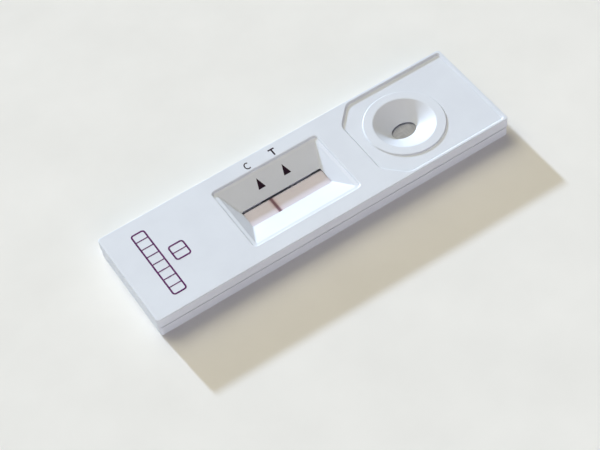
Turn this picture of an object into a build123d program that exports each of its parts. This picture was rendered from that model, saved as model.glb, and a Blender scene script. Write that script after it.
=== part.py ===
"""Lateral flow cassette: a test strip held between two white mouldings that press together.

The frame has its origin in the middle of the underside. +X runs along the cassette towards the
sample well, +Z is up, and the read window lies on the other side of the middle. Sizes are in millimetres.
"""

import os

from build123d import *

# Housing, outside
length = 70.0
width = 20.3
height = 4.5
parting_height = 2.5
parting_gap = 0.26
parting_gap_depth = 0.85
corner_radius = 0.6
top_edge_radius = 0.12
base_edge_bevel = 0.3
base_inset = 0.08

# Housing, inside
side_wall = 1.2
roof = 1.1
base_floor = 1.0
cavity_corner_radius = 0.6

# Recess at the sample end
rim_width = 0.45
recess_depth = 0.31
recess_draft = 45.0
recess_length = 23.5
recess_neck = 11.6
recess_taper_length = 3.6
recess_bend_radius = 2.2
recess_corner_radius = 0.6

# Sample well
ring_to_recess = 2.0
ring_diameter = 14.6
ring_slope = 0.2
ring_rise = 0.21
mouth_bevel = 0.1
mouth_diameter = 11.0
throat_length = 4.65
throat_width = 3.25
throat_lip = 0.05
throat_shift = 0.2
funnel_wall = 1.1

# Read window
window_to_recess = 4.45
window_length = 21.3
window_width = 14.1
window_corner_radius = 0.8
window_edge_bevel = 0.1
window_lip = 0.3
window_lip_slope = 0.2
window_ledge = 0.55
window_ledge_drop = 0.1
slot_length = 15.9
slot_width = 3.8
slot_corner_radius = 0.3
slot_lip = 0.1
skirt_margin = 0.4
skirt_foot_end = 1.15
skirt_foot_side = 2.4

# Press pins and their sockets
pin_diameter = 1.6
pin_depth = 1.0
pin_tip_bevel = 0.2
pin_shoulder = 2.6
pin_from_end = 3.6
pin_from_side = 2.75
pin_to_window = 4.5
socket_diameter = 3.4
socket_clearance = 0.03
socket_end_room = 0.2

# Strip and its layers
strip_width = 3.4
strip_end_room = 3.8
card_thickness = 0.3
membrane_thickness = 0.15
conjugate_thickness = 0.3
sample_thickness = 0.22
absorbent_thickness = 0.9
membrane_tuck = 1.9
conjugate_length = 8.0
layer_overlap = 1.5
slot_gap = 0.3
throat_gap = 0.27

# Bed and guides that hold the strip in the tray
bed_rise = 0.55
bed_rib_thickness = 1.0
bed_pitch = 10.0
guide_length = 4.0
guide_thickness = 0.8
guide_clearance = 0.3
guide_rise = 0.25
press_bar_thickness = 0.8
press_bar_gap = 0.05
press_bar_pitch = 5.5

# Places along the cassette, worked from the sample end
half_length = length / 2
half_width = width / 2
recess_right = half_length - rim_width
recess_left = recess_right - recess_length
recess_half_width = half_width - rim_width
well_x = recess_left + ring_to_recess + ring_diameter / 2
throat_x = well_x - throat_shift
window_right = recess_left - window_to_recess
window_left = window_right - window_length
window_x = (window_left + window_right) / 2
land_x = window_right + window_to_recess / 2

# Heights in the housing and in the strip
cavity_roof = height - roof
recess_floor = height - recess_depth
ring_top = recess_floor + ring_rise
ledge_outer = height - window_lip
ledge_inner = ledge_outer - window_ledge_drop
bed_top = base_floor + bed_rise
card_top = bed_top + card_thickness
membrane_top = card_top + membrane_thickness
conjugate_top = card_top + conjugate_thickness
conjugate_crest = membrane_top + conjugate_thickness
sample_top = card_top + sample_thickness
absorbent_top = membrane_top + absorbent_thickness
slot_bottom = membrane_top + slot_gap
slot_top = slot_bottom + slot_lip
throat_bottom = sample_top + throat_gap
throat_top = throat_bottom + throat_lip
guide_top = bed_top + guide_rise

# Ends of the strip's layers
strip_half_length = half_length - side_wall - strip_end_room
membrane_left = window_left - membrane_tuck
membrane_right = window_right + membrane_tuck
absorbent_right = membrane_left + layer_overlap
conjugate_left = membrane_right - layer_overlap
conjugate_right = conjugate_left + conjugate_length
sample_left = conjugate_right - layer_overlap

# Press pins stand in pairs near the two ends, left of the window and on the land right of it
pin_y = half_width - pin_from_side
pin_columns = [pin_from_end - half_length, window_left - pin_to_window, land_x, half_length - pin_from_end]
pin_places = [(x, side * pin_y) for x in pin_columns for side in (-1, 1)]
pin_tip = parting_height - pin_depth

# Bars under the roof hold the absorbent pad and the overlap of conjugate pad and membrane
absorbent_middle = (absorbent_right - strip_half_length) / 2
press_bars = [
    (absorbent_middle - press_bar_pitch / 2, card_top + absorbent_thickness),
    (absorbent_middle + press_bar_pitch / 2, card_top + absorbent_thickness),
    (land_x, conjugate_crest),
]

with BuildPart() as top_shell:
    # Skirt and roof in one block, softened above
    with BuildSketch(Plane.XY.offset(parting_height)):
        RectangleRounded(length, width, corner_radius)
    extrude(amount=height - parting_height)
    fillet(top_shell.edges().group_by(Axis.Z)[-1], top_edge_radius)

    # Room under the roof
    with BuildSketch(Plane.XY.offset(parting_height)):
        RectangleRounded(length - 2 * side_wall, width - 2 * side_wall, cavity_corner_radius)
    extrude(amount=cavity_roof - parting_height, mode=Mode.SUBTRACT)

    # Underside of the read window, tapering down to a foot round the slot
    with BuildSketch(Plane((window_x, 0, cavity_roof))):
        Rectangle(window_length + 2 * skirt_margin, window_width + 2 * skirt_margin)
    with BuildSketch(Plane((window_x, 0, slot_bottom))):
        Rectangle(slot_length + 2 * skirt_foot_end, slot_width + 2 * skirt_foot_side)
    loft(ruled=True)

    # Underside of the funnel, tapering down to the throat
    with BuildSketch(Plane((well_x, 0, cavity_roof))):
        Circle(mouth_diameter / 2)
    with BuildSketch(Plane((throat_x, 0, throat_bottom))):
        Ellipse(throat_length / 2 + funnel_wall, throat_width / 2 + funnel_wall)
    loft(ruled=True)

    # Six-sided press pins, each with a square shoulder that stands on its round socket
    with BuildSketch(Plane.XY.offset(parting_height)):
        with Locations(pin_places):
            Rectangle(pin_shoulder, pin_shoulder)
    extrude(amount=cavity_roof - parting_height)
    with BuildSketch(Plane.XY.offset(pin_tip)):
        with Locations(pin_places):
            RegularPolygon(pin_diameter / 2, 6)
    extrude(amount=cavity_roof - pin_tip)
    chamfer(top_shell.edges().group_by(Axis.Z)[0], pin_tip_bevel)

    # Press bars over the pads
    for bar_x, pad_top in press_bars:
        with BuildSketch(Plane((bar_x, 0, pad_top + press_bar_gap))):
            Rectangle(press_bar_thickness, strip_width)
        extrude(amount=cavity_roof - pad_top - press_bar_gap)

    # Read window: a steep lip, a narrow tilted ledge, sloped walls and the slot over the strip
    lip_length = window_length - 2 * window_lip_slope
    lip_width = window_width - 2 * window_lip_slope
    window_steps = [
        (height, window_length, window_width, window_corner_radius),
        (ledge_outer, lip_length, lip_width, window_corner_radius - window_lip_slope),
        (ledge_inner, lip_length - 2 * window_ledge, lip_width - 2 * window_ledge, slot_corner_radius),
        (slot_top, slot_length, slot_width, slot_corner_radius),
    ]
    for pair in zip(window_steps, window_steps[1:]):
        for level, step_length, step_width, bend in pair:
            with BuildSketch(Plane((window_x, 0, level))):
                RectangleRounded(step_length, step_width, bend)
        loft(ruled=True, mode=Mode.SUBTRACT)
    with BuildSketch(Plane((window_x, 0, slot_bottom))):
        RectangleRounded(slot_length, slot_width, slot_corner_radius)
    extrude(amount=slot_lip, mode=Mode.SUBTRACT)
    top_face = top_shell.faces().sort_by(Axis.Z)[-1]
    chamfer(top_face.inner_wires()[0].edges(), window_edge_bevel)

    # Recess at the sample end, with drafted sides, narrowing towards the window
    with BuildSketch(Plane.XY.offset(height)) as recess:
        with BuildLine():
            Polyline(
                (recess_left, -recess_neck / 2),
                (recess_left + recess_taper_length, -recess_half_width),
                (recess_right, -recess_half_width),
                (recess_right, recess_half_width),
                (recess_left + recess_taper_length, recess_half_width),
                (recess_left, recess_neck / 2),
                close=True,
            )
        make_face()
        corners = recess.vertices().group_by(Axis.X)
        fillet(corners[0] + corners[1], recess_bend_radius)
        fillet(recess.vertices().group_by(Axis.X)[-1], recess_corner_radius)
    extrude(amount=-recess_depth, taper=recess_draft, mode=Mode.SUBTRACT)

    # Raised ring with a sloped side, and funnel of the sample well
    with BuildSketch(Plane((well_x, 0, recess_floor))):
        Circle(ring_diameter / 2)
    with BuildSketch(Plane((well_x, 0, ring_top))):
        Circle(ring_diameter / 2 - ring_slope)
    loft(ruled=True)
    with BuildSketch(Plane((well_x, 0, ring_top))):
        Circle(mouth_diameter / 2)
    with BuildSketch(Plane((throat_x, 0, throat_top))):
        Ellipse(throat_length / 2, throat_width / 2)
    loft(ruled=True, mode=Mode.SUBTRACT)
    with BuildSketch(Plane((throat_x, 0, throat_bottom))):
        Ellipse(throat_length / 2, throat_width / 2)
    extrude(amount=throat_lip, mode=Mode.SUBTRACT)
    ring_middle = (ring_diameter + mouth_diameter) / 4 - ring_slope / 2
    ring_face = top_shell.faces().sort_by_distance((well_x + ring_middle, 0, ring_top))[0]
    chamfer(ring_face.inner_wires()[0].edges(), mouth_bevel)
top_shell.part.label = "top_shell"

with BuildPart() as bottom_shell:
    # Tray with a bevelled underside edge, a little smaller than the top shell
    with BuildSketch():
        RectangleRounded(length - 2 * base_inset, width - 2 * base_inset, corner_radius)
    extrude(amount=parting_height - parting_gap)
    chamfer(bottom_shell.edges().group_by(Axis.Z)[0], base_edge_bevel)

    # Rim that stands back from the outside, so that a dark line shows under the top shell
    with BuildSketch(Plane.XY.offset(parting_height - parting_gap)):
        RectangleRounded(length - 2 * parting_gap_depth, width - 2 * parting_gap_depth, corner_radius)
    extrude(amount=parting_gap)

    # Room for the strip
    with BuildSketch(Plane.XY.offset(base_floor)):
        RectangleRounded(length - 2 * side_wall, width - 2 * side_wall, cavity_corner_radius)
    extrude(amount=parting_height - base_floor, mode=Mode.SUBTRACT)

    # Cross ribs that carry the strip, with a guide on each side of it
    guide_y = strip_width / 2 + guide_clearance + guide_thickness / 2
    rib_count = int(2 * strip_half_length // bed_pitch)
    with BuildSketch(Plane.XY.offset(base_floor)):
        with GridLocations(bed_pitch, 0, rib_count, 1):
            Rectangle(bed_rib_thickness, 2 * guide_y)
    extrude(amount=bed_rise)
    with BuildSketch(Plane.XY.offset(base_floor)):
        with GridLocations(bed_pitch, 2 * guide_y, rib_count, 2):
            Rectangle(guide_length, guide_thickness)
    extrude(amount=guide_top - base_floor)

    # Stops at the two ends of the strip
    stop_x = strip_half_length + guide_clearance + guide_thickness / 2
    with BuildSketch(Plane.XY.offset(base_floor)):
        with GridLocations(2 * stop_x, 0, 2, 1):
            Rectangle(guide_thickness, 2 * guide_y)
    extrude(amount=guide_top - base_floor)

    # Sockets for the press pins
    with BuildSketch(Plane.XY.offset(base_floor)):
        with Locations(pin_places):
            Circle(socket_diameter / 2)
    extrude(amount=parting_height - base_floor)
    with BuildSketch(Plane.XY.offset(parting_height)):
        with Locations(pin_places):
            Circle(pin_diameter / 2 + socket_clearance)
    extrude(amount=-pin_depth - socket_end_room, mode=Mode.SUBTRACT)
bottom_shell.part.label = "bottom_shell"

with BuildPart() as backing_card:
    with BuildSketch(Plane.XY.offset(bed_top)):
        Rectangle(2 * strip_half_length, strip_width)
    extrude(amount=card_thickness)
backing_card.part.label = "backing_card"

with BuildPart() as membrane:
    with BuildSketch(Plane((window_x, 0, card_top))):
        Rectangle(membrane_right - membrane_left, strip_width)
    extrude(amount=membrane_thickness)
membrane.part.label = "membrane"

# The pads are drawn from the side: each lies on the card and climbs over the end of its neighbour
with BuildPart() as absorbent_pad:
    with BuildSketch(Plane.XZ):
        with BuildLine():
            Polyline(
                (-strip_half_length, card_top),
                (membrane_left, card_top),
                (membrane_left, membrane_top),
                (absorbent_right, membrane_top),
                (absorbent_right, absorbent_top),
                (membrane_left - absorbent_thickness, absorbent_top),
                (membrane_left - absorbent_thickness, card_top + absorbent_thickness),
                (-strip_half_length, card_top + absorbent_thickness),
                close=True,
            )
        make_face()
    extrude(amount=strip_width / 2, both=True)
absorbent_pad.part.label = "absorbent_pad"

with BuildPart() as conjugate_pad:
    with BuildSketch(Plane.XZ):
        with BuildLine():
            Polyline(
                (conjugate_left, membrane_top),
                (membrane_right, membrane_top),
                (membrane_right, card_top),
                (conjugate_right, card_top),
                (conjugate_right, conjugate_top),
                (membrane_right + conjugate_thickness, conjugate_top),
                (membrane_right + conjugate_thickness, conjugate_crest),
                (conjugate_left, conjugate_crest),
                close=True,
            )
        make_face()
    extrude(amount=strip_width / 2, both=True)
conjugate_pad.part.label = "conjugate_pad"

with BuildPart() as sample_pad:
    with BuildSketch(Plane.XZ):
        with BuildLine():
            Polyline(
                (sample_left, conjugate_top),
                (conjugate_right, conjugate_top),
                (conjugate_right, card_top),
                (strip_half_length, card_top),
                (strip_half_length, sample_top),
                (conjugate_right + sample_thickness, sample_top),
                (conjugate_right + sample_thickness, conjugate_top + sample_thickness),
                (sample_left, conjugate_top + sample_thickness),
                close=True,
            )
        make_face()
    extrude(amount=strip_width / 2, both=True)
sample_pad.part.label = "sample_pad"

os.makedirs("parts", exist_ok=True)
for piece in (top_shell, bottom_shell, backing_card, membrane, absorbent_pad, conjugate_pad, sample_pad):
    export_step(piece.part, f"parts/{piece.part.label}.step")
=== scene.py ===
# %% [markdown]
# A lateral flow cassette, dressed for its picture
#
# The cassette is two white mouldings pressed together round a thin test strip. Its solids are already
# modelled at real size, so this lesson adds what solids lack: the finish of each surface, the ink
# printed on the top, the light, the floor and the camera. We start by loading those solids as a fixed
# frame, in metres.

from math import cos, pi, radians, sin

import bmesh
import bpy
from mathutils import Matrix, Vector
from mathutils.bvhtree import BVHTree


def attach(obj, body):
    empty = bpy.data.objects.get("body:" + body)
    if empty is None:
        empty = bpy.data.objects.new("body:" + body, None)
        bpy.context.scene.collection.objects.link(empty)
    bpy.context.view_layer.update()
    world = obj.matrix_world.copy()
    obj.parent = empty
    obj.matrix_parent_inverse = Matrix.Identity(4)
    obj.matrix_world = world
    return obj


MM = 0.001
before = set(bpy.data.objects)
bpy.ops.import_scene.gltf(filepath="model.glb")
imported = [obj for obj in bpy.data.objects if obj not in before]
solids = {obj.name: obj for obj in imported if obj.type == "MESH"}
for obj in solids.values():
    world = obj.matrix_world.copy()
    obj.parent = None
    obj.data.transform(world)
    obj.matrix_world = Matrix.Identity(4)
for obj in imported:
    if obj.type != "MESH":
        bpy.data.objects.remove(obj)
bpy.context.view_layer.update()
print("solids:", sorted(solids))

# %% [markdown]
# Camera
#
# The picture looks down on the near side of the cassette, a little from the plain end, with the horizon
# tipped. A camera can be placed by hand until things line up, but it is easier to repeat if it is
# described as a photographer would: the point it is aimed at, how far it stands, its heading, its
# height angle and its tilt. The three axes of the camera follow from those by cross products.

# %% Place the camera
aim_point = Vector((-4.71, -4.62, 0.0)) * MM
aim_distance = 258.2 * MM
heading = radians(26.24)
look_down = radians(52.55)
tilt = radians(-8.67)
lens_length = 92.04
nearest_seen = 10 * MM

forward = Vector((sin(heading) * cos(look_down), cos(heading) * cos(look_down), -sin(look_down)))
level_right = forward.cross(Vector((0, 0, 1))).normalized()
level_up = level_right.cross(forward)
right = level_right * cos(tilt) + level_up * sin(tilt)
up = right.cross(forward)
camera_data = bpy.data.cameras.new("camera")
camera_data.lens = lens_length
camera_data.clip_start = nearest_seen
camera = bpy.data.objects.new("camera", camera_data)
camera_place = Matrix.Translation(aim_point - forward * aim_distance)
camera_turn = Matrix((right, up, -forward)).transposed().to_4x4()
camera.matrix_world = camera_place @ camera_turn
bpy.context.scene.collection.objects.link(camera)
bpy.context.scene.camera = camera
print("camera stands at", [round(c / MM, 1) for c in camera.location], "mm")

# %% [markdown]
# Small helpers for node graphs
#
# A material or a sky is a graph of nodes, and writing one out link by link hides what it does. A few
# helpers keep the cells short: they start a material, make a node and set its values, do sums, blend
# two colours and pack nodes into a group. Places on the object are read from object coordinates, which
# here are metres in the shared frame.

# %% Helpers that make materials and nodes
def start_material(name, roughness):
    """A new material with one Principled shader: returns it, its node tree and that shader."""
    material = bpy.data.materials.new(name)
    material.use_nodes = True
    tree = material.node_tree
    shader = tree.nodes["Principled BSDF"]
    shader.inputs["Roughness"].default_value = roughness
    return material, tree, shader


def add_node(tree, kind, **values):
    """A node of that kind. Values are set on its inputs by name, or on the node itself."""
    node = tree.nodes.new(kind)
    for name, value in values.items():
        socket = node.inputs.get(name.replace("_", " "))
        if socket is None:
            setattr(node, name, value)
        else:
            socket.default_value = value
    return node


def math_node(tree, operation, first, second):
    """A math node whose two inputs are links or plain numbers: returns its output."""
    node = tree.nodes.new("ShaderNodeMath")
    node.operation = operation
    for socket, value in zip(node.inputs, (first, second)):
        if isinstance(value, (int, float)):
            socket.default_value = value
        else:
            tree.links.new(value, socket)
    return node.outputs["Value"]


def blend_node(tree, value, start, end):
    """A soft step from 0 to 1 while a linked value goes from start to end: returns its output."""
    node = add_node(tree, "ShaderNodeMapRange", interpolation_type="SMOOTHSTEP")
    node.inputs["From Min"].default_value = start
    node.inputs["From Max"].default_value = end
    tree.links.new(value, node.inputs["Value"])
    return node.outputs["Result"]


def mix_colours(tree, factor, first, second):
    """A colour mixed from two, each a link or a plain colour, by a linked factor: returns its output.

    The node has sockets for numbers and vectors too, so the two colours are its inputs 6 and 7."""
    node = add_node(tree, "ShaderNodeMix", data_type="RGBA")
    tree.links.new(factor, node.inputs["Factor"])
    for socket, colour in ((node.inputs[6], first), (node.inputs[7], second)):
        if isinstance(colour, tuple):
            socket.default_value = (*colour, 1)
        else:
            tree.links.new(colour, socket)
    return node.outputs[2]


def ramp_node(tree, factor, stops):
    """A colour ramp through (place, colour) stops, driven by a link: returns its colour."""
    node = tree.nodes.new("ShaderNodeValToRGB")
    marks = node.color_ramp.elements
    while len(marks) < len(stops):
        marks.new(0.5)
    for mark, (place, colour) in zip(marks, stops):
        mark.position = place
        mark.color = (*colour, 1)
    tree.links.new(factor, node.inputs["Fac"])
    return node.outputs["Color"]


def start_group(name, inputs, outputs):
    """A shader node group with named number inputs and outputs: returns it and its two end nodes."""
    group = bpy.data.node_groups.new(name, "ShaderNodeTree")
    for label, value in inputs.items():
        socket = group.interface.new_socket(label, in_out="INPUT", socket_type="NodeSocketFloat")
        socket.default_value = value
    for label in outputs:
        group.interface.new_socket(label, in_out="OUTPUT", socket_type="NodeSocketFloat")
    return group, group.nodes.new("NodeGroupInput"), group.nodes.new("NodeGroupOutput")


def use_group(tree, group, **values):
    """Places a group in a material, with its own values."""
    node = tree.nodes.new("ShaderNodeGroup")
    node.node_tree = group
    for name, value in values.items():
        node.inputs[name.replace("_", " ")].default_value = value
    return node


def put_on(material, *names):
    """Gives a material to solids by name."""
    for name in names:
        mesh = solids[name].data
        mesh.materials.clear()
        mesh.materials.append(material)
    print(material.name, "on", ", ".join(names))


# %% [markdown]
# Light
#
# One low, fairly sharp light comes from behind the cassette, so that every step towards the viewer is
# in shade and the shadow falls forwards. The rest is soft light from the room. An even sky would fill
# the shadow right up to the wall, so the sky here is graded: brightest high up behind, weak low down
# behind, dark high up in front and on both sides, and with a band low in front, which lights the near
# wall more than the floor. The gaze is a direction of length 1, and each pair of numbers below says
# between which two of its values along one axis a part of the sky fades into the next. Together, key
# and sky bring a level white surface to about its own colour. The camera, and any reflection, sees a
# plain pale backdrop in place of that sky.

# %% Light the scene
shadow_reach = Vector((1.4, -14.25, -4.5))
key_strength = 4.5
key_colour = (0.64, 0.765, 1.0)
key_spread = radians(2.6)
back_high_colour = (4.75, 4.47, 3.62)
back_low_colour = (0.8, 0.7, 0.3)
front_high_colour = (0.05, 0.04, 0.05)
front_low_colour = (2.63, 2.42, 2.55)
left_level = 0.08
right_level = 0.05
backdrop_colour = (0.83, 0.836, 0.816)
back_to_front = (0.43, 0.12)
low_to_high = (0.48, 0.73)
middle_to_left = (-0.2, -0.75)
middle_to_right = (-0.12, 0.48)

key_data = bpy.data.lights.new("low_key", "SUN")
key_data.energy = key_strength
key_data.color = key_colour
key_data.angle = key_spread
key = bpy.data.objects.new("low_key", key_data)
key.rotation_euler = shadow_reach.to_track_quat("-Z", "Y").to_euler()
bpy.context.scene.collection.objects.link(key)

world = bpy.data.worlds.new("soft_room")
world.use_nodes = True
bpy.context.scene.world = world
tree = world.node_tree
tree.nodes.clear()
gaze = add_node(tree, "ShaderNodeTexCoord")
axes = add_node(tree, "ShaderNodeSeparateXYZ")
tree.links.new(gaze.outputs["Generated"], axes.inputs["Vector"])
front_share = blend_node(tree, axes.outputs["Y"], *back_to_front)
high_share = blend_node(tree, axes.outputs["Z"], *low_to_high)
left_share = blend_node(tree, axes.outputs["X"], *middle_to_left)
right_share = blend_node(tree, axes.outputs["X"], *middle_to_right)
back_colour = mix_colours(tree, high_share, back_low_colour, back_high_colour)
front_colour = mix_colours(tree, high_share, front_low_colour, front_high_colour)
room_colour = mix_colours(tree, front_share, back_colour, front_colour)
left_loss = math_node(tree, "MULTIPLY", left_share, 1.0 - left_level)
right_loss = math_node(tree, "MULTIPLY", right_share, 1.0 - right_level)
side_strength = math_node(tree, "SUBTRACT", math_node(tree, "SUBTRACT", 1.0, left_loss), right_loss)
soft = add_node(tree, "ShaderNodeBackground")
tree.links.new(room_colour, soft.inputs["Color"])
tree.links.new(side_strength, soft.inputs["Strength"])
plain = add_node(tree, "ShaderNodeBackground", Color=(*backdrop_colour, 1))
path = add_node(tree, "ShaderNodeLightPath")
choose = add_node(tree, "ShaderNodeMixShader")
world_out = add_node(tree, "ShaderNodeOutputWorld")
seen_rays = math_node(tree, "MAXIMUM", path.outputs["Is Camera Ray"], path.outputs["Is Glossy Ray"])
seen_rays = math_node(tree, "MAXIMUM", seen_rays, path.outputs["Is Transmission Ray"])
tree.links.new(seen_rays, choose.inputs["Fac"])
tree.links.new(soft.outputs["Background"], choose.inputs[1])
tree.links.new(plain.outputs["Background"], choose.inputs[2])
tree.links.new(choose.outputs["Shader"], world_out.inputs["Surface"])
bpy.context.scene.view_settings.view_transform = "Standard"
print("light falls along", [round(c, 2) for c in shadow_reach.normalized()])

# %% [markdown]
# Moulded grain
#
# Injection-moulded polystyrene copies the steel it was moulded against: a very fine sparkle-free grain,
# with broad, faint swells where the plastic shrank. Ink and paper swell in the same way at other sizes,
# so it is a node group. It puts out a height for a bump and a swing for colour and gloss, and each
# material sets the two scales, which count the grains and swells in a metre.

# %% Build the moulded grain group
grain_scale = 9000.0
swell_scale = 160.0
grain_group, grain_in, grain_out = start_group(
    "moulded_grain", {"Grain Scale": grain_scale, "Swell Scale": swell_scale}, ["Height", "Swing"]
)
place = add_node(grain_group, "ShaderNodeTexCoord")
fine = add_node(grain_group, "ShaderNodeTexNoise", Detail=2.0, Roughness=0.6)
broad = add_node(grain_group, "ShaderNodeTexNoise", Detail=3.0, Roughness=0.55)
for noise, label in ((fine, "Grain Scale"), (broad, "Swell Scale")):
    grain_group.links.new(place.outputs["Object"], noise.inputs["Vector"])
    grain_group.links.new(grain_in.outputs[label], noise.inputs["Scale"])
height = math_node(grain_group, "ADD", fine.outputs["Fac"], broad.outputs["Fac"])
grain_group.links.new(height, grain_out.inputs["Height"])
grain_group.links.new(broad.outputs["Fac"], grain_out.inputs["Swing"])
print("group", grain_group.name)

# %% [markdown]
# Fibre mat
#
# The layers of the strip are felted or cast sheets: a membrane as fine as filter paper, and pads of
# glass or cotton fibre. Noise that is stretched along two directions reads as crossing fibres. The group
# puts out a height for the bump and a shade value, which the pads use for painted shade that darkens
# their colour in the fibre hollows.

# %% Build the fibre mat group
fibre_scale = 4000.0
fibre_stretch = 0.22
fibre_group, fibre_in, fibre_out = start_group(
    "fibre_mat", {"Fibre Scale": fibre_scale}, ["Height", "Shade"]
)
place = add_node(fibre_group, "ShaderNodeTexCoord")
runs = []
for stretch in ((1.0, fibre_stretch, 1.0), (fibre_stretch, 1.0, 1.0)):
    lay = add_node(fibre_group, "ShaderNodeMapping", Scale=stretch)
    noise = add_node(fibre_group, "ShaderNodeTexNoise", Detail=3.0, Roughness=0.6)
    fibre_group.links.new(place.outputs["Object"], lay.inputs["Vector"])
    fibre_group.links.new(lay.outputs["Vector"], noise.inputs["Vector"])
    fibre_group.links.new(fibre_in.outputs["Fibre Scale"], noise.inputs["Scale"])
    runs.append(noise.outputs["Fac"])
felt = math_node(fibre_group, "MAXIMUM", runs[0], runs[1])
fibre_group.links.new(felt, fibre_out.inputs["Height"])
fibre_group.links.new(felt, fibre_out.inputs["Shade"])
print("group", fibre_group.name)

# %% [markdown]
# White mouldings
#
# The housing is bluish-white polystyrene with a satin face. Its colour is nearly even, so what makes it
# read as plastic is the grain and a slow swing in gloss. The colour is mixed between two close whites by
# the same broad noise.

# %% Finish the two mouldings
shell_white = (0.712, 0.762, 0.83)
shell_shade = (0.691, 0.739, 0.808)
shell_smooth, shell_rough = 0.36, 0.5
shell_shine = 0.3
shell_bump_strength = 0.05
shell_bump_height = 0.02 * MM

shell_material, tree, shader = start_material("white_polystyrene", shell_rough)
shader.inputs["Specular IOR Level"].default_value = shell_shine
grain = use_group(tree, grain_group, Grain_Scale=grain_scale, Swell_Scale=swell_scale)
tone = ramp_node(tree, grain.outputs["Swing"], [(0.35, shell_shade), (0.6, shell_white)])
tree.links.new(tone, shader.inputs["Base Color"])
gloss = add_node(tree, "ShaderNodeMapRange", To_Min=shell_smooth, To_Max=shell_rough)
tree.links.new(grain.outputs["Swing"], gloss.inputs["Value"])
tree.links.new(gloss.outputs["Result"], shader.inputs["Roughness"])
bump = add_node(tree, "ShaderNodeBump", Strength=shell_bump_strength, Distance=shell_bump_height)
tree.links.new(grain.outputs["Height"], bump.inputs["Height"])
tree.links.new(bump.outputs["Normal"], shader.inputs["Normal"])
put_on(shell_material, "top_shell", "bottom_shell")

# %% [markdown]
# Membrane and its control line
#
# The membrane is a thin white film that the dye has stained a pale pink. The test was read as
# negative: one reddish-brown line stands at the control place and none at the test place. A line of
# dye is darkest at its middle and bleeds a little, so it is drawn from the distance to its place along
# the strip, once narrow and dark and once wide and faint.

# %% Finish the membrane
control_x = -6.36 * MM
line_half_width = 0.5 * MM
bleed_half_width = 1.1 * MM
line_wobble = 0.15 * MM
core_share = 0.2
membrane_fibres = 5000.0
membrane_rough = 0.85
membrane_bump_strength = 0.2
membrane_bump_height = 0.02 * MM
membrane_colour = (0.765, 0.73, 0.8)
bleed_colour = (0.73, 0.63, 0.68)
line_colour = (0.19, 0.095, 0.12)

membrane_material, tree, shader = start_material("stained_membrane", membrane_rough)
felt = use_group(tree, fibre_group, Fibre_Scale=membrane_fibres)
place = add_node(tree, "ShaderNodeTexCoord")
axes = add_node(tree, "ShaderNodeSeparateXYZ")
tree.links.new(place.outputs["Object"], axes.inputs["Vector"])
away = math_node(tree, "ABSOLUTE", math_node(tree, "SUBTRACT", axes.outputs["X"], control_x), 0.0)
swing = math_node(tree, "SUBTRACT", felt.outputs["Shade"], 0.5)
away = math_node(tree, "ADD", away, math_node(tree, "MULTIPLY", swing, line_wobble))
bleed_share = blend_node(tree, away, bleed_half_width, core_share * bleed_half_width)
line_share = blend_node(tree, away, line_half_width, core_share * line_half_width)
stain = mix_colours(tree, bleed_share, membrane_colour, bleed_colour)
tree.links.new(mix_colours(tree, line_share, stain, line_colour), shader.inputs["Base Color"])
bump = add_node(tree, "ShaderNodeBump", Strength=membrane_bump_strength, Distance=membrane_bump_height)
tree.links.new(felt.outputs["Height"], bump.inputs["Height"])
tree.links.new(bump.outputs["Normal"], shader.inputs["Normal"])
put_on(membrane_material, "membrane")

# %% [markdown]
# Pads and card
#
# Of the other layers only the sample pad shows, at the bottom of the well, but each has its own finish
# because the part may be taken apart. The finishes differ only in colour and in the scale of their
# fibres, so one function makes them all.

# %% Finish the pads and the card
pad_rough = 0.9
pad_bump_strength = 0.5
pad_bump_height = 0.08 * MM


def fibre_material(name, painted_hollow_shade, crest, scale):
    """A felted sheet whose colour runs from painted shade in its fibre hollows to its own colour at its
    crests.
    """
    material, tree, shader = start_material(name, pad_rough)
    felt = use_group(tree, fibre_group, Fibre_Scale=scale)
    # Painted shade: the colour darkens towards the fibre hollows, where the bump is low.
    colour = ramp_node(tree, felt.outputs["Shade"], [(0.3, painted_hollow_shade), (0.75, crest)])
    tree.links.new(colour, shader.inputs["Base Color"])
    bump = add_node(tree, "ShaderNodeBump", Strength=pad_bump_strength, Distance=pad_bump_height)
    tree.links.new(felt.outputs["Height"], bump.inputs["Height"])
    tree.links.new(bump.outputs["Normal"], shader.inputs["Normal"])
    return material


# The first colour of each sheet is painted shade for its fibre hollows, the second its colour at the
# crests.
sheets = [
    ("sample_pad", "sample_felt", (0.37, 0.395, 0.455), (0.585, 0.61, 0.67), 2200.0),
    ("absorbent_pad", "wick_felt", (0.66, 0.66, 0.64), (0.84, 0.84, 0.82), 1800.0),
    ("conjugate_pad", "dyed_glass_fibre", (0.4, 0.18, 0.22), (0.66, 0.42, 0.45), 3200.0),
    ("backing_card", "card_face", (0.78, 0.78, 0.76), (0.86, 0.86, 0.85), 900.0),
]
for solid, finish, painted_hollow_shade, crest, scale in sheets:
    put_on(fibre_material(finish, painted_hollow_shade, crest, scale), solid)

# %% [markdown]
# Printed marks
#
# The marks are pad-printed: a film of ink lying on the plastic, nearly black beside the window and dark
# purple at the plain end. A decal image could show them, but a thin solid of ink keeps its shape in any
# renderer. Each mark is drawn in plan from a few sizes, dropped straight down on the moulding with rays,
# and thickened along the surface it meets, so the arrows lie on the sloped wall of the window and the
# letters lie on the flat top.

# %% Ink, and a helper that lays plan shapes on the moulding
ink_thickness = 0.02 * MM
ink_sink = 0.01 * MM
ink_rough = 0.7
ink_shine = 0.15
ink_grain = 5000.0
ink_swell = 900.0
ray_start = 20 * MM
straight_down = Vector((0, 0, -1))
top_tree = BVHTree.FromObject(solids["top_shell"], bpy.context.evaluated_depsgraph_get())


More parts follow.
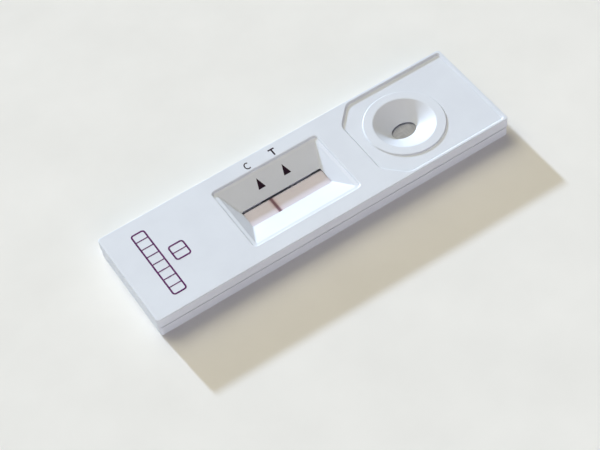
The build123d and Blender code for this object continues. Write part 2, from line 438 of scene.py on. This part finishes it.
def ink_material(name, thick, thin):
    """An ink whose film is a little uneven, so its colour swings between thick and thin places."""
    material, tree, shader = start_material(name, ink_rough)
    shader.inputs["Specular IOR Level"].default_value = ink_shine
    grain = use_group(tree, grain_group, Grain_Scale=ink_grain, Swell_Scale=ink_swell)
    tone = ramp_node(tree, grain.outputs["Swing"], [(0.35, thick), (0.65, thin)])
    tree.links.new(tone, shader.inputs["Base Color"])
    return material


def lay_ink(name, shapes, ink):
    """One printed piece from shapes, each a list of plan points in millimetres that go round it."""
    mesh = bpy.data.meshes.new(name)
    sheet = bmesh.new()
    for outline in shapes:
        low, high = [], []
        for x, y in outline:
            above = Vector((x * MM, y * MM, ray_start))
            hit, normal, _, _ = top_tree.ray_cast(above, straight_down)
            low.append(sheet.verts.new(hit - normal * ink_sink))
            high.append(sheet.verts.new(hit + normal * ink_thickness))
        sheet.faces.new(high)
        sheet.faces.new(low[::-1])
        for i, corner in enumerate(low):
            after = (i + 1) % len(low)
            sheet.faces.new((corner, low[after], high[after], high[i]))
    bmesh.ops.recalc_face_normals(sheet, faces=sheet.faces)
    sheet.to_mesh(mesh)
    sheet.free()
    piece = bpy.data.objects.new(name, mesh)
    bpy.context.scene.collection.objects.link(piece)
    mesh.materials.append(ink)
    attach(piece, "root")
    print(name, "has", len(mesh.polygons), "faces")


def bar(x0, y0, x1, y1):
    """A straight stroke as a rectangle."""
    return [(x0, y0), (x1, y0), (x1, y1), (x0, y1)]


# %% [markdown]
# Marks beside the window
#
# Two arrows on the far slope point away from the strip to a letter each: C for the control place and
# T for the test place, as on any such cassette. The C is an open ring, worked out step by step, and
# the T has two strokes. Each letter is one outline.

# %% Print the arrows and letters
control_mark_x = -6.55
test_mark_x = -1.42
arrow_base_y = 3.7
arrow_tip_y = 5.6
arrow_half_width = 0.7
letter_y = 8.3
letter_height = 1.55
ring_stroke = 0.2
bar_stroke = 0.28
letter_half_width = 0.6
ring_opening = radians(50)
ring_steps = 24

arrows = [
    [(x - arrow_half_width, arrow_base_y), (x + arrow_half_width, arrow_base_y), (x, arrow_tip_y)]
    for x in (control_mark_x, test_mark_x)
]
ring_turn = (2 * pi - 2 * ring_opening) / ring_steps
ring_outer = Vector((letter_half_width, letter_height / 2))
ring_inner = ring_outer - Vector((ring_stroke, ring_stroke))


def ring_point(radii, step):
    """A point of the open ring that makes the C."""
    angle = ring_opening + step * ring_turn
    return control_mark_x + radii.x * cos(angle), letter_y + radii.y * sin(angle)


open_ring = [ring_point(ring_outer, step) for step in range(ring_steps + 1)]
open_ring += [ring_point(ring_inner, step) for step in range(ring_steps, -1, -1)]
letter_top = letter_y + letter_height / 2
letter_foot = letter_y - letter_height / 2
half_stroke = bar_stroke / 2
tee = [
    (test_mark_x - half_stroke, letter_foot),
    (test_mark_x + half_stroke, letter_foot),
    (test_mark_x + half_stroke, letter_top - bar_stroke),
    (test_mark_x + letter_half_width, letter_top - bar_stroke),
    (test_mark_x + letter_half_width, letter_top),
    (test_mark_x - letter_half_width, letter_top),
    (test_mark_x - letter_half_width, letter_top - bar_stroke),
    (test_mark_x - half_stroke, letter_top - bar_stroke),
]
black_ink = ink_material("black_ink", (0.011, 0.002, 0.009), (0.022, 0.005, 0.018))
lay_ink("window_arrows", arrows, black_ink)
lay_ink("window_letters", [open_ring, tee], black_ink)

# %% [markdown]
# Blank entry cells
#
# The plain end carries a blank form, printed across the cassette: a long row of cells for a written
# sample number and a short row beside it. Each row is a frame with round corners, drawn as two halves
# because a printed shape here may have no hole, and thin dividers between its cells. Its sizes, like
# those of the letters, are in millimetres.

# %% Print the entry cells
frame_stroke = 0.3
divider_stroke = 0.2
frame_radius = 0.6
corner_steps = 6
long_row = {"x0": -30.3, "x1": -27.6, "half_width": 7.35, "cells": 8}
short_row = {"x0": -26.4, "x1": -23.4, "half_width": 1.7, "cells": 2}


def quarter(centre_x, centre_y, radius, start, end):
    """Points on an arc between two angles in degrees."""
    angles = [radians(start + (end - start) * i / corner_steps) for i in range(corner_steps + 1)]
    return [(centre_x + radius * cos(a), centre_y + radius * sin(a)) for a in angles]


def half_frame(x0, x1, reach):
    """Half of a round-cornered frame, from its middle to a side at that reach across the cassette."""
    side = 1 if reach > 0 else -1
    inner_radius = frame_radius - frame_stroke
    bend_y = reach - side * frame_radius
    outside = quarter(x0 + frame_radius, bend_y, frame_radius, 180, 180 - side * 90)
    outside += quarter(x1 - frame_radius, bend_y, frame_radius, side * 90, 0)
    inside = quarter(x1 - frame_radius, bend_y, inner_radius, 0, side * 90)
    inside += quarter(x0 + frame_radius, bend_y, inner_radius, 180 - side * 90, 180)
    return [(x0, 0), *outside, (x1, 0), (x1 - frame_stroke, 0), *inside, (x0 + frame_stroke, 0)]


def cell_row(x0, x1, half_width, cells):
    """The frame and dividers of a row of cells that runs across the cassette."""
    pitch = 2 * half_width / cells
    half = divider_stroke / 2
    lines = [-half_width + pitch * i for i in range(1, cells)]
    dividers = [bar(x0 + frame_stroke, y - half, x1 - frame_stroke, y + half) for y in lines]
    return [half_frame(x0, x1, half_width), half_frame(x0, x1, -half_width), *dividers]


purple_ink = ink_material("purple_ink", (0.085, 0.008, 0.085), (0.125, 0.014, 0.125))
lay_ink("entry_cells", cell_row(**long_row) + cell_row(**short_row), purple_ink)

# %% [markdown]
# Floor
#
# The cassette lies on a plain pale sheet. A single large square is enough, because nothing but the
# shadow falls on it. A faint noise keeps it from looking like an empty background.

# %% Lay the floor
floor_half = 600 * MM
floor_drop = 0.01 * MM
floor_shade = (0.81, 0.813, 0.785)
floor_white = (0.85, 0.853, 0.825)
floor_rough = 0.9
floor_shine = 0.1
floor_grain = 2500.0
floor_swell = 60.0

floor_mesh = bpy.data.meshes.new("floor")
signs = [(-1, -1), (1, -1), (1, 1), (-1, 1)]
corners = [(x * floor_half, y * floor_half, -floor_drop) for x, y in signs]
floor_mesh.from_pydata(corners, [], [(0, 1, 2, 3)])
floor = bpy.data.objects.new("floor", floor_mesh)
bpy.context.scene.collection.objects.link(floor)
floor_material, tree, shader = start_material("pale_sheet", floor_rough)
grain = use_group(tree, grain_group, Grain_Scale=floor_grain, Swell_Scale=floor_swell)
tone = ramp_node(tree, grain.outputs["Swing"], [(0.3, floor_shade), (0.7, floor_white)])
tree.links.new(tone, shader.inputs["Base Color"])
shader.inputs["Specular IOR Level"].default_value = floor_shine
floor_mesh.materials.append(floor_material)
print("floor is", 2 * floor_half, "m square")
